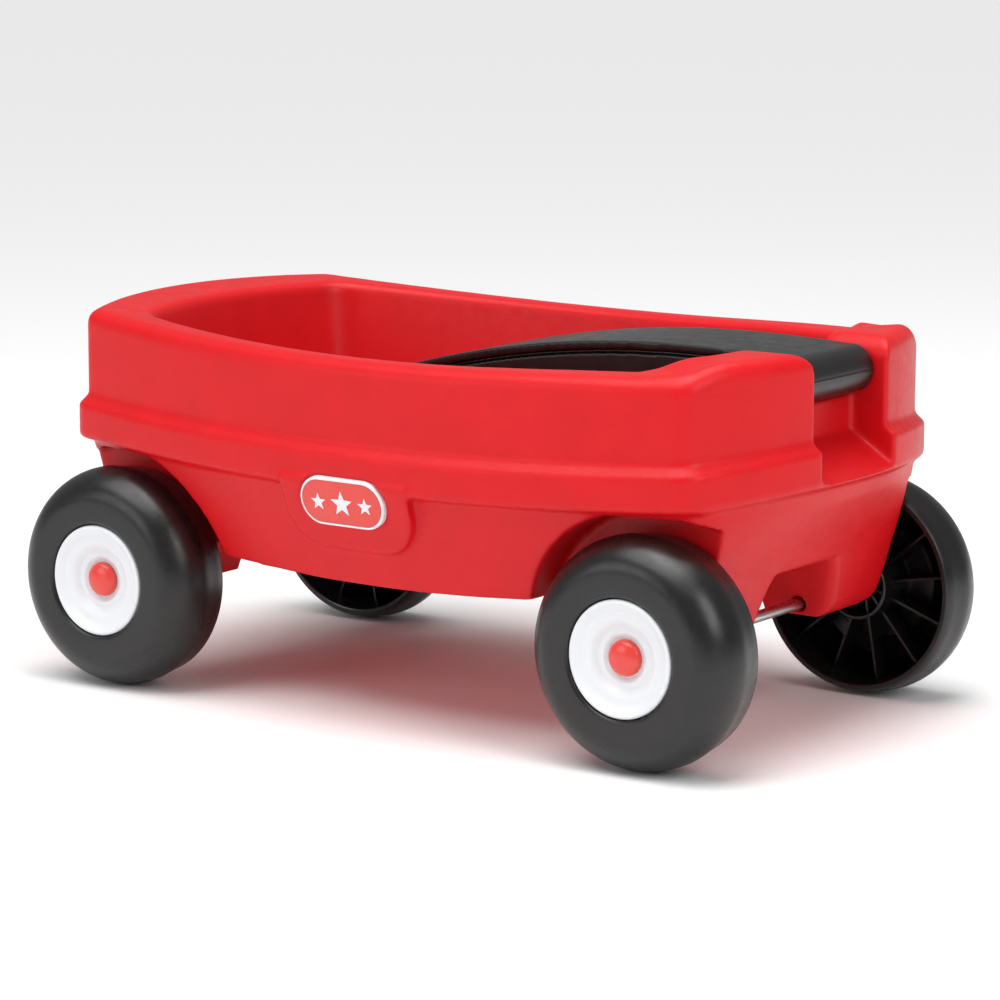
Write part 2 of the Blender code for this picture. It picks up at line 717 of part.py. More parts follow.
def build_handle(material):
    bar = add_object("pull_handle", handle_section("pull_handle", 0.06, 0.0), material)
    boolean(bar, add_cutter("handle_plan", rounded_plan_mesh(0.0)), "INTERSECT")
    hollow = add_cutter("handle_hollow", handle_section("handle_hollow", 0.06, WALL))
    boolean(hollow, add_cutter("handle_hollow_plan", rounded_plan_mesh(WALL)), "INTERSECT")
    sleeve = cylinder("handle_sleeve", PIVOT_ROD_RADIUS + 0.0045, -0.06, 0.06, PIVOT_X, PIVOT_Z)
    boolean(hollow, add_cutter("handle_sleeve", sleeve))
    grip_x = HANDLE_REAR_X + 0.042
    grip_skin = upright_pill("grip_skin", grip_x, GRIP_LENGTH + 2 * WALL, GRIP_WIDTH + 2 * WALL)
    boolean(hollow, add_cutter("grip_skin", grip_skin))
    boolean(bar, add_cutter("grip", upright_pill("grip", grip_x, GRIP_LENGTH, GRIP_WIDTH)))
    boolean(bar, hollow)
    hole = cylinder("handle_bore", PIVOT_ROD_RADIUS + GAP, -0.06, 0.06, PIVOT_X, PIVOT_Z)
    boolean(bar, add_cutter("handle_bore", hole))
    vent = cylinder("handle_vent", 0.0025, -0.06, 0.0, 0.10, handle_top(0.10) - 0.014, 12)
    boolean(bar, add_cutter("handle_vent", vent))
    merge_slivers(bar)


def build_pivot_rod(material):
    rod = cylinder("handle_pivot_rod", PIVOT_ROD_RADIUS, -PIVOT_ROD_HALF_LENGTH, PIVOT_ROD_HALF_LENGTH)
    obj = add_object("handle_pivot_rod", rod, material)
    obj.location = (PIVOT_X, 0, PIVOT_Z)


# ---- badges ----


def build_badges(white, bright_red):
    for side_name, side in (("left", 1), ("right", -1)):
        outline = pill(BADGE_LENGTH, BADGE_HEIGHT)
        edge = pill(BADGE_LENGTH - 0.0024, BADGE_HEIGHT - 0.0024)
        rings = [
            [(x, -BADGE_THICKNESS, z) for x, z in outline],
            [(x, -0.0012, z) for x, z in outline],
            [(x, 0.0, z) for x, z in edge],
        ]
        plate = loft(f"badge_plate_{side_name}", rings)
        place_on_side(plate, side)
        obj = add_object(f"badge_plate_{side_name}", plate, white)
        pocket = prism("pocket", pill(BADGE_LENGTH - 0.006, BADGE_HEIGHT - 0.006), -0.0010, 0.01)
        place_on_side(pocket, side)
        boolean(obj, add_cutter("pocket", pocket))
        face = prism("face", pill(BADGE_LENGTH - 0.0068, BADGE_HEIGHT - 0.0068), -0.0007, 0.0)
        place_on_side(face, side)
        add_object(f"badge_face_{side_name}", face, bright_red)


clear_scene()
PARTS = new_collection("kids_pull_wagon")
CUTTERS = new_collection("cutters")
MATERIALS = {
    "red": plastic("red_polyethylene", RED, 0.38),
    "bright_red": plastic("bright_red_plastic", BRIGHT_RED, 0.30),
    "black": plastic("black_plastic", BLACK, 0.38),
    "white": plastic("white_plastic", WHITE, 0.35),
    "steel": plastic("steel", STEEL, 0.25, 1.0),
}
build_tub(MATERIALS["red"])
build_handle(MATERIALS["black"])
build_pivot_rod(MATERIALS["steel"])
build_axles(MATERIALS["steel"])
build_wheels(MATERIALS)
build_badges(MATERIALS["white"], MATERIALS["bright_red"])
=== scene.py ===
"""Looks of the child's pull wagon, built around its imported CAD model.

The moulded tub, the handle and the wheels are made again here as finer meshes with soft moulded edges.
They keep the overall sizes and places of the CAD nodes that they stand for, with rounder corners and
a tread that narrows more towards its back. Metres, +Z up, +X is the front.
"""

import math

import bmesh
import bpy
from mathutils import Matrix, Vector


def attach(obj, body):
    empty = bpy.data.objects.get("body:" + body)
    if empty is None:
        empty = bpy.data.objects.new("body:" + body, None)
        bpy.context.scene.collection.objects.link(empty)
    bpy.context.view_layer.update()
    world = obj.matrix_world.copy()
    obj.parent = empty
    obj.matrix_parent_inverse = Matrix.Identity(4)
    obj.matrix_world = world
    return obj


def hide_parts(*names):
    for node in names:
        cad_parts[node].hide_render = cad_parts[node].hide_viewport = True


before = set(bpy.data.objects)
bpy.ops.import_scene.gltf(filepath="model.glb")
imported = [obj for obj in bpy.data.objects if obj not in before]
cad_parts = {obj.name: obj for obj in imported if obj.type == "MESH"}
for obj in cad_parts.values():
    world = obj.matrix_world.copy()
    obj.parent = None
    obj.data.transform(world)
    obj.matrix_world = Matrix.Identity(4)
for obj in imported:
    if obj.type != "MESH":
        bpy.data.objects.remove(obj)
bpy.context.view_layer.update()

SCENE = bpy.context.scene

# Wheels and axles
WHEELBASE = 0.4412
AXLE_Z = 0.078
AXLE_RADIUS = 0.004
WHEEL_RADIUS = AXLE_Z
WHEEL_WIDTH = 0.0516
WHEEL_OUTER_Y = 0.1748
WHEEL_SHOULDER = 0.70 * WHEEL_RADIUS
BACK_RADIUS = 0.95 * WHEEL_RADIUS
TREAD_WALL = 0.0035
HUB_RADIUS = 0.0392
HUB_RECESS = 0.013
BOSS_RADIUS = 0.0245
BOSS_END = 0.0500
TUBE_RADIUS = 0.0100
TUBE_END = 0.0546
RIB_COUNT = 12
RIB_THICKNESS = 0.0018
RIB_PHASE = 10.0
CAP_RADIUS = 0.0122

# Tub plan at the rim
TUB_FRONT = 0.2914
TUB_REAR = -0.291
TUB_HALF_WIDTH = 0.1733
WIDEST_X = 0.016
BELT_PROUD = 0.0068

# Tub heights above the ground, at mid length
FOOT_Z = 0.0697
SKIRT_LOW_Z = 0.081
PANEL_BOTTOM_Z = 0.0962
BELT_BOTTOM_Z = 0.166
BELT_TOP_Z = 0.189
RIM_Z = 0.2525
RIM_BOW = 0.204
RIM_SIDE_RISE = 0.005
HORN_RISE = 0.010
FRONT_CROWN = 0.0045
BELT_LOW_BOW = 0.11
BELT_HIGH_BOW = 0.12
RIM_OUTER_ROUND = 0.0105
RIM_INNER_ROUND = 0.0075
FLOOR_ROUND = 0.009
REAR_BOW_SHARE = 0.77
CAVITY_FLOOR_Z = 0.121
CAVITY_DRAFT = 0.021

# Wheel wells, feet and end arches
WELL_RADIUS = 0.092
WELL_INNER_Y = 0.1180
WELL_CEILING_Z = 0.1665
FOOT_HALF_LENGTH = 0.030
FOOT_ROUND = 0.012
FOOT_FRONT_X = 0.2462
FOOT_LEAN = 0.31
TUNNEL_HALF_WIDTH = 0.0385
TUNNEL_TOP_Z = 0.1145
PANEL_SAG = 0.0105

# Handle and its notch
PIVOT_X = 0.2633
PIVOT_Z = 0.2458
HANDLE_HALF_WIDTH = 0.043
HANDLE_END_RADIUS = 0.0165
HANDLE_REAR_X = -0.125
HANDLE_CREST_X = 0.185
HANDLE_CREST_Z = 0.2643
GRIP_LENGTH = 0.056
GRIP_WIDTH = 0.032
LIP_DEPTH = 0.0055
LIP_STEP = 0.0022
PIVOT_ROD_RADIUS = 0.004
PIVOT_ROD_HALF_LENGTH = 0.060
NOTCH_HALF_WIDTH = 0.046
HORN_ROUND = 0.016
SADDLE_Z = 0.2278
NOTCH_BACK_X = 0.260
RAMP_TOP_Z = 0.204
RAMP_END_X = 0.320
RAMP_END_Z = 0.1645

# Side badges
BADGE_X = 0.001
BADGE_Z = 0.1572
BADGE_LENGTH = 0.070
BADGE_HEIGHT = 0.034
BADGE_THICKNESS = 0.0045
BADGE_FACE_Y = 0.179
BADGE_LEAN = 0.2

# Fineness of the moulded surfaces
TUB_VOXEL = 0.0018
HANDLE_VOXEL = 0.0011
ROUND_SEGMENTS = 128

# Camera, aimed at a point near the middle of the tub
CAMERA_AIM = (0.004, 0, 0.1343)
CAMERA_DISTANCE = 2.8226
CAMERA_AZIMUTH = 35.275
CAMERA_ELEVATION = 10.087
CAMERA_ROLL = 0.177
CAMERA_LENS = 144.4


# ---- mesh helpers ----


def mesh_from(bm, name, sharp=40):
    bmesh.ops.recalc_face_normals(bm, faces=bm.faces)
    mesh = bpy.data.meshes.new(name)
    bm.to_mesh(mesh)
    bm.free()
    mesh.shade_smooth()
    mesh.set_sharp_from_angle(angle=math.radians(sharp))
    return mesh


def loft(name, rings):
    """Closed solid through rings with equal point counts, capped at both ends."""
    bm = bmesh.new()
    loops = [[bm.verts.new(point) for point in ring] for ring in rings]
    count = len(rings[0])
    for low, high in zip(loops, loops[1:]):
        for i in range(count):
            j = (i + 1) % count
            bm.faces.new((low[i], low[j], high[j], high[i]))
    bm.faces.new(loops[0])
    bm.faces.new(loops[-1])
    return mesh_from(bm, name)


def prism(name, outline, low_y, high_y):
    """Solid between two Y planes; low_y and high_y are numbers or functions of z."""

    def level(value, z):
        return value(z) if callable(value) else value

    return loft(name, [[(x, level(y, z), z) for x, z in outline] for y in (low_y, high_y)])


def turned(name, profile, segments=ROUND_SEGMENTS):
    """Closed (radius, y) profile turned about the Y axis."""
    bm = bmesh.new()
    rings = []
    for i in range(segments):
        angle = 2 * math.pi * i / segments
        x = math.cos(angle)
        z = math.sin(angle)
        rings.append([bm.verts.new((r * x, y, r * z)) for r, y in profile])
    count = len(profile)
    ends_on_axis = profile[0][0] == 0 and profile[-1][0] == 0
    for i in range(segments):
        ring, following = rings[i], rings[(i + 1) % segments]
        for k in range(count - 1 if ends_on_axis else count):
            n = (k + 1) % count
            bm.faces.new((ring[k], ring[n], following[n], following[k]))
    bmesh.ops.remove_doubles(bm, verts=bm.verts, dist=0.000001)
    return mesh_from(bm, name, 30)


def cylinder(name, radius, half_length, x=0.0, z=0.0, segments=48):
    """Rod along Y through the centre plane."""
    outline = arc(x, z, radius, 0, 360 - 360 / segments, segments - 1)
    return prism(name, outline, -half_length, half_length)


def arc(centre_x, centre_z, radius, start, end, steps):
    """Points on an arc, angles in degrees."""
    points = []
    for i in range(steps + 1):
        angle = math.radians(start + (end - start) * i / steps)
        points.append((centre_x + radius * math.cos(angle), centre_z + radius * math.sin(angle)))
    return points


def pill(length, height, steps=24):
    """Pill outline centred on the origin, long along its first axis."""
    radius = height / 2
    straight = length / 2 - radius
    return arc(straight, 0.0, radius, -90, 90, steps) + arc(-straight, 0.0, radius, 90, 270, steps)


def scratch(mesh):
    """A working object that is removed again by shaped()."""
    obj = bpy.data.objects.new("scratch", mesh)
    SCENE.collection.objects.link(obj)
    return obj


def shaped(name, base, tools, voxel=None, smooth=0, faces=None, sharp=None):
    """Cut and join the tools into the base, soften its edges by a fine remesh, and return the mesh."""
    obj = scratch(base)
    others = []
    for mesh, operation in tools:
        tool = scratch(mesh)
        others.append(tool)
        modifier = obj.modifiers.new("shape", "BOOLEAN")
        modifier.operation = operation
        modifier.solver = "EXACT"
        modifier.object = tool
    if voxel:
        remesh = obj.modifiers.new("fine", "REMESH")
        remesh.mode = "VOXEL"
        remesh.voxel_size = voxel
        soften = obj.modifiers.new("soften", "SMOOTH")
        soften.factor = 0.5
        soften.iterations = smooth
    graph = bpy.context.evaluated_depsgraph_get()
    mesh = bpy.data.meshes.new_from_object(obj.evaluated_get(graph))
    if faces and len(mesh.polygons) * 2 > faces:
        heavy = scratch(mesh)
        others.append(heavy)
        thin = heavy.modifiers.new("thin", "DECIMATE")
        thin.ratio = faces / (len(mesh.polygons) * 2)
        graph = bpy.context.evaluated_depsgraph_get()
        mesh = bpy.data.meshes.new_from_object(heavy.evaluated_get(graph))
    for used in [obj, *others]:
        bpy.data.objects.remove(used)
    mesh.name = name
    mesh.materials.clear()
    mesh.shade_smooth()
    if sharp:
        mesh.set_sharp_from_angle(angle=math.radians(sharp))
    return mesh


def piece(name, mesh, material, body, slot, *nodes):
    """Show a finished mesh in place of the CAD nodes and let it ride on their body."""
    obj = bpy.data.objects.new(name, mesh)
    SCENE.collection.objects.link(obj)
    if not mesh.materials:
        mesh.materials.append(material)
    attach(obj, body)
    if nodes:
        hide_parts(*nodes)
    return obj


# ---- materials ----


def plastic(name, colour, roughness, grain, grain_size, mottle=0.0, spread=0.05, coat=0.0, gloss=0.5):
    """Moulded plastic: even colour with faint mottling, uneven gloss and a fine surface grain."""
    material = bpy.data.materials.new(name)
    material.use_nodes = True
    nodes = material.node_tree.nodes
    links = material.node_tree.links
    shader = nodes["Principled BSDF"]
    shader.inputs["Specular IOR Level"].default_value = gloss
    shader.inputs["Coat Weight"].default_value = coat
    shader.inputs["Coat Roughness"].default_value = 0.15
    place = nodes.new("ShaderNodeTexCoord")

    def noise(size, detail):
        texture = nodes.new("ShaderNodeTexNoise")
        texture.inputs["Scale"].default_value = 1 / size
        texture.inputs["Detail"].default_value = detail
        links.new(place.outputs["Object"], texture.inputs["Vector"])
        return texture.outputs["Fac"]

    def ramp(source, low, high):
        fitted = nodes.new("ShaderNodeMapRange")
        fitted.inputs["From Min"].default_value = 0.3
        fitted.inputs["From Max"].default_value = 0.7
        fitted.inputs["To Min"].default_value = low
        fitted.inputs["To Max"].default_value = high
        links.new(source, fitted.inputs["Value"])
        return fitted.outputs["Result"]

    mix = nodes.new("ShaderNodeMix")
    mix.data_type = "RGBA"
    mix.inputs["A"].default_value = [c * (1 - mottle) for c in colour] + [1]
    mix.inputs["B"].default_value = [min(c * (1 + mottle), 1) for c in colour] + [1]
    links.new(ramp(noise(0.030, 4), 0.0, 1.0), mix.inputs["Factor"])
    links.new(mix.outputs["Result"], shader.inputs["Base Color"])
    links.new(ramp(noise(0.009, 5), roughness - spread, roughness + spread), shader.inputs["Roughness"])
    if grain:
        bump = nodes.new("ShaderNodeBump")
        bump.inputs["Strength"].default_value = grain
        bump.inputs["Distance"].default_value = 0.0003
        links.new(noise(grain_size, 2), bump.inputs["Height"])
        links.new(bump.outputs["Normal"], shader.inputs["Normal"])
    return material


def steel(name):
    """Drawn zinc-plated rod with fine scratches along its length."""
    material = bpy.data.materials.new(name)
    material.use_nodes = True
    nodes = material.node_tree.nodes
    links = material.node_tree.links
    shader = nodes["Principled BSDF"]
    shader.inputs["Metallic"].default_value = 1.0
    shader.inputs["Base Color"].default_value = (0.60, 0.59, 0.57, 1)
    place = nodes.new("ShaderNodeTexCoord")
    stretch = nodes.new("ShaderNodeMapping")
    stretch.inputs["Scale"].default_value = (1500, 40, 1500)
    streaks = nodes.new("ShaderNodeTexNoise")
    streaks.inputs["Scale"].default_value = 1.0
    gloss = nodes.new("ShaderNodeMapRange")
    gloss.inputs["To Min"].default_value = 0.18
    gloss.inputs["To Max"].default_value = 0.38
    links.new(place.outputs["Object"], stretch.inputs["Vector"])
    links.new(stretch.outputs["Vector"], streaks.inputs["Vector"])
    links.new(streaks.outputs["Fac"], gloss.inputs["Value"])
    links.new(gloss.outputs["Result"], shader.inputs["Roughness"])
    return material


# ---- tub ----


def circles_meet(first, first_radius, second, second_radius, towards):
    """The crossing of two circles that lies furthest towards +X (1) or -X (-1)."""
    dx = second[0] - first[0]
    dy = second[1] - first[1]
    distance = math.hypot(dx, dy)
    along = (first_radius**2 - second_radius**2 + distance**2) / (2 * distance)
    across = math.sqrt(max(first_radius**2 - along**2, 0.0))
    middle = (first[0] + along * dx / distance, first[1] + along * dy / distance)
    options = [
        (middle[0] + side * across * dy / distance, middle[1] - side * across * dx / distance)
        for side in (-1, 1)
    ]
    return max(options, key=lambda point: point[0] * towards)


def plan(half_width, ends, end_radii, corners, side_radius=1.05, widest=WIDEST_X):
    """Tub outline seen from above: two side arcs and two end arcs joined by round corners.

    ends, end_radii and corners each give the front value, then the rear one.
    """
    side_centre = (widest, half_width - side_radius)
    front, rear = ends
    front_radius, rear_radius = end_radii

    def corner_arc(end_centre, end_radius, corner, towards):
        centre = circles_meet(
            side_centre, side_radius - corner, (end_centre, 0.0), end_radius - corner, towards
        )
        side_angle = math.atan2(centre[1] - side_centre[1], centre[0] - side_centre[0])
        end_angle = math.atan2(centre[1], centre[0] - end_centre)
        return centre, math.degrees(side_angle), math.degrees(end_angle)

    front_centre = front - front_radius
    rear_centre = rear + rear_radius
    front_corner, front_side, front_end = corner_arc(front_centre, front_radius, corners[0], 1)
    rear_corner, rear_side, rear_end = corner_arc(rear_centre, rear_radius, corners[1], -1)
    half = arc(front_centre, 0.0, front_radius, 0, front_end, 14)
    half += arc(*front_corner, corners[0], front_end, front_side, 8)[1:]
    half += arc(*side_centre, side_radius, front_side, rear_side, 36)[1:]
    half += arc(*rear_corner, corners[1], rear_side, rear_end, 8)[1:]
    half += arc(rear_centre, 0.0, rear_radius, rear_end, 180, 14)[1:]
    return half + [(x, -y) for x, y in reversed(half[1:-1])]


def lift(x, bow, crown):
    """Height that a moulded line gains towards the ends, with an extra rise across the front."""
    distance = x - WIDEST_X
    if distance < 0:
        bow *= REAR_BOW_SHARE
    rise = min(max((x - 0.262) / 0.034, 0.0), 1.0)
    return bow * distance**2 + crown * rise


def ring(outline, height, bow=0.0, crown=0.0):
    """Ring at one height, bowed towards the ends."""
    return [(x, y, height + lift(x, bow, crown)) for x, y in outline]


def ease(value):
    """Smooth step from 0 to 1."""
    value = min(max(value, 0.0), 1.0)
    return value * value * (3 - 2 * value)


def rim_lift(x, y):
    """Rise of the rim: bowed along the sides, level near the front corners, highest at the horns."""
    distance = x - WIDEST_X
    if distance < 0:
        return REAR_BOW_SHARE * RIM_BOW * distance**2
    along_side = RIM_SIDE_RISE * math.tanh(RIM_BOW * distance**2 / RIM_SIDE_RISE)
    at_front = ease((x - 0.20) / 0.035) * ease((0.155 - abs(y)) / 0.045)
    return along_side + HORN_RISE * at_front


def rim_ring(outline, height):
    """Ring whose height follows the rim."""
    return [(x, y, height + rim_lift(x, y)) for x, y in outline]


def wall_plan(grow):
    """Outline of the wall above the belt, grown or shrunk evenly."""
    ends = (TUB_FRONT + grow, TUB_REAR - grow)
    end_radii = (0.302 + grow, 0.301 + grow)
    corners = (0.0215 + grow, 0.012 + grow)
    return plan(TUB_HALF_WIDTH + grow, ends, end_radii, corners, 1.078 + grow)


def skirt_plan(level, inset=0.0):
    """Outline below the belt; level runs from 0 at the feet to 1 under the belt."""
    foot_y = 0.12
    reach_at_foot = 0.2450 + 0.026 * level - 0.0035 * level**2
    bulge = 0.0012 + 0.0196 * max(0.0, (level - 0.4) / 0.6) ** 1.3
    end_radius = foot_y**2 / (2 * bulge)
    reach = reach_at_foot + bulge - inset
    half_width = 0.143 + 0.0280 * level**0.9
    corner = max(0.010 + 0.024 * level - inset, 0.003)
    return plan(half_width - inset, (reach, -reach), (end_radius, end_radius), (corner, corner))


def cavity_plan(grow):
    """Outline of the load space at the rim, grown or shrunk evenly."""
    ends = (0.238 + grow, -0.240 - grow)
    corner = 0.030 + grow
    return plan(0.147 + grow, ends, (0.60 + grow, 0.35 + grow), (corner, corner), 0.70, 0.0)


def tub_rings():
    skirt_top = BELT_BOTTOM_Z - 0.002
    rings = [ring(skirt_plan(0.0, 0.012), FOOT_Z), ring(skirt_plan(0.0, 0.004), SKIRT_LOW_Z - 0.006)]
    for level in (0.0, 0.2, 0.4, 0.5, 0.6, 0.7, 0.8, 0.9):
        height = SKIRT_LOW_Z + level * (skirt_top - SKIRT_LOW_Z)
        rings.append(ring(skirt_plan(level), height, BELT_LOW_BOW * level))
    for outline, height, bow in (
        (skirt_plan(1.0), skirt_top, BELT_LOW_BOW),
        (wall_plan(BELT_PROUD - 0.002), BELT_BOTTOM_Z, BELT_LOW_BOW),
        (wall_plan(BELT_PROUD), BELT_BOTTOM_Z + 0.002, BELT_LOW_BOW),
        (wall_plan(BELT_PROUD), BELT_TOP_Z, BELT_HIGH_BOW),
        (wall_plan(0.0004), BELT_TOP_Z + 0.0066, BELT_HIGH_BOW),
        (wall_plan(0.0), BELT_TOP_Z + 0.009, BELT_HIGH_BOW),
    ):
        rings.append(ring(outline, height, bow, FRONT_CROWN))
    for angle in range(0, 91, 15):
        out = RIM_OUTER_ROUND * (math.cos(math.radians(angle)) - 1)
        up = RIM_OUTER_ROUND * (math.sin(math.radians(angle)) - 1)
        rings.append(rim_ring(wall_plan(out), RIM_Z + up))
    for angle in range(90, -1, -15):
        out = RIM_INNER_ROUND * (1 - math.cos(math.radians(angle)))
        up = RIM_INNER_ROUND * (math.sin(math.radians(angle)) - 1)
        rings.append(rim_ring(cavity_plan(out), RIM_Z + up))
    draft = CAVITY_DRAFT - 0.002
    for angle in range(0, 91, 18):
        inward = FLOOR_ROUND * (1 - math.cos(math.radians(angle)))
        down = FLOOR_ROUND * (1 - math.sin(math.radians(angle)))
        rings.append(ring(cavity_plan(-draft - inward), CAVITY_FLOOR_Z + down))
    return rings


def well_mesh(end, side):
    """Arched wheel well with a flattened crown, open outwards and downwards."""
    lowest = 0.02
    crest = math.degrees(math.asin((WELL_CEILING_Z - AXLE_Z) / WELL_RADIUS))
    outline = [(WELL_RADIUS, lowest)]
    outline += arc(0.0, AXLE_Z, WELL_RADIUS, 0, crest, 28)
    outline += arc(0.0, AXLE_Z, WELL_RADIUS, 180 - crest, 180, 28)
    outline.append((-WELL_RADIUS, lowest))
    outline = [(end * (WHEELBASE / 2 + x), z) for x, z in outline]

    def inner(z):
        return side * (WELL_INNER_Y + 0.02 * (z - AXLE_Z))

    return prism("well", outline, inner, side * 0.25)


def foot_round_mesh(end, side):
    """Cutter that rounds the outer lower edge of a foot."""
    centre_y = WELL_INNER_Y - FOOT_ROUND
    centre_z = FOOT_Z + FOOT_ROUND
    section = arc(centre_y, centre_z, FOOT_ROUND, 0, -90, 10)
    section += [(centre_y, FOOT_Z - 0.02), (WELL_INNER_Y + 0.02, FOOT_Z - 0.02)]
    section += [(WELL_INNER_Y + 0.02, centre_z)]
    inboard = WHEELBASE / 2 - FOOT_HALF_LENGTH - 0.02
    return loft("foot_round", [[(end * x, side * y, z) for y, z in section] for x in (inboard, 0.34)])


def underside_mesh():
    """Space under the middle of the tub, between the front and rear feet."""
    reach = WHEELBASE / 2 - FOOT_HALF_LENGTH
    outline = [(-reach - 0.008, 0.02), (-reach + 0.004, PANEL_BOTTOM_Z + PANEL_SAG)]
    steps = 24
    for i in range(1, steps):
        x = (reach - 0.004) * (2 * i / steps - 1)
        outline.append((x, PANEL_BOTTOM_Z + PANEL_SAG * (x / reach) ** 2))
    outline += [(reach - 0.004, PANEL_BOTTOM_Z + PANEL_SAG), (reach + 0.008, 0.02)]
    return prism("underside", outline, -0.25, 0.25)


def tunnel_mesh(end):
    """Arch between the two feet at one end, narrower at its top and flared where it meets the end face."""

    def section(widen):
        top = TUNNEL_TOP_Z + 0.3 * widen
        half = TUNNEL_HALF_WIDTH + widen
        points = [(half + 0.0135, 0.06), (half + 0.002, top - 0.011)]
        points += [(half, top - 0.006), (half - 0.0045, top)]
        return points + [(-y, z) for y, z in reversed(points)]

    inboard = WHEELBASE / 2 - FOOT_HALF_LENGTH - 0.02
    rings = [[(end * inboard, y, z) for y, z in section(0.0)]]
    flare = ((-0.012, 0.0), (-0.006, 0.0012), (-0.002, 0.0042), (0.001, 0.009), (0.08, 0.009))
    for out, widen in flare:
        points = []
        for y, z in section(widen):
            face_x = FOOT_FRONT_X + FOOT_LEAN * (z - SKIRT_LOW_Z)
            points.append((end * (face_x + out), y, z))
        rings.append(points)
    return loft("tunnel", rings)


def notch_mesh():
    """Slot for the handle: a saddle over the wall, then a ramp down to the front lip."""
    outline = [
        (0.20, SADDLE_Z),
        (NOTCH_BACK_X, SADDLE_Z),
        (NOTCH_BACK_X, RAMP_TOP_Z),
        (RAMP_END_X, RAMP_END_Z),
        (RAMP_END_X, 0.30),
        (0.20, 0.30),
    ]
    return prism("notch", outline, -NOTCH_HALF_WIDTH, NOTCH_HALF_WIDTH)


def horn_round_mesh(side):
    """Cutter that rounds a horn's top corner beside the notch, following the rising rim."""
    rings = []
    for x in (0.225, 0.245, 0.265, 0.285, 0.305):
        top = RIM_Z + rim_lift(x, NOTCH_HALF_WIDTH)
        curve = arc(NOTCH_HALF_WIDTH + HORN_ROUND, top - HORN_ROUND, HORN_ROUND, 90, 180, 12)
        outer = [(NOTCH_HALF_WIDTH - 0.010, top - HORN_ROUND), (NOTCH_HALF_WIDTH - 0.010, top + 0.010)]
        outer.append((NOTCH_HALF_WIDTH + HORN_ROUND, top + 0.010))
        rings.append([(x, side * y, z) for y, z in curve + outer])
    return loft("horn_round", rings)


def panel_mesh(side):
    """Raised panel behind a badge: straight top in the belt, rounded lower corners, leaning face."""
    half, corner, bottom = 0.053, 0.030, 0.1225
    top = BELT_BOTTOM_Z + 0.006
    outline = [(BADGE_X + half, top)]
    outline += arc(BADGE_X + half - corner, bottom + corner, corner, 0, -90, 14)
    outline += arc(BADGE_X - half + corner, bottom + corner, corner, -90, -180, 14)
    outline.append((BADGE_X - half, top))

    def face(z):
        return side * (0.1806 - 0.36 * (BELT_BOTTOM_Z + 0.002 - z))

    return prism("panel", outline, side * 0.140, face)


def on_side(mesh, side):
    """Lean a plate modelled in the XZ plane, front face at y = 0, and put it on one side of the tub."""
    lean = Matrix.Rotation(-math.atan(BADGE_LEAN), 4, "X")
    mesh.transform(Matrix.Translation((BADGE_X, BADGE_FACE_Y, BADGE_Z)) @ lean)
    if side < 0:
        mesh.transform(Matrix.Scale(-1, 4, (0, 1, 0)))
        mesh.flip_normals()
    return mesh


def build_tub(red):
    tools = []
    for side in (1, -1):
        tools.append((panel_mesh(side), "UNION"))
    for end in (1, -1):
        for side in (1, -1):
            tools.append((well_mesh(end, side), "DIFFERENCE"))
            tools.append((foot_round_mesh(end, side), "DIFFERENCE"))
        tools.append((tunnel_mesh(end), "DIFFERENCE"))
        hole = cylinder("axle_hole", AXLE_RADIUS + 0.0015, 0.2, end * WHEELBASE / 2, AXLE_Z)
        tools.append((hole, "DIFFERENCE"))
    tools.append((underside_mesh(), "DIFFERENCE"))
    tools.append((notch_mesh(), "DIFFERENCE"))
    for side in (1, -1):
        tools.append((horn_round_mesh(side), "DIFFERENCE"))
    for side in (1, -1):
        recess = prism("recess", pill(BADGE_LENGTH + 0.0016, BADGE_HEIGHT + 0.0016), -0.0049, 0.02)
        tools.append((on_side(recess, side), "DIFFERENCE"))
    voxel = TUB_VOXEL
    mesh = shaped("wagon_tub", loft("tub", tub_rings()), tools, voxel, 5, 150_000)
    piece("moulded_tub", mesh, red, "wagon", "red_plastic", "wagon_tub")


# ---- wheels ----


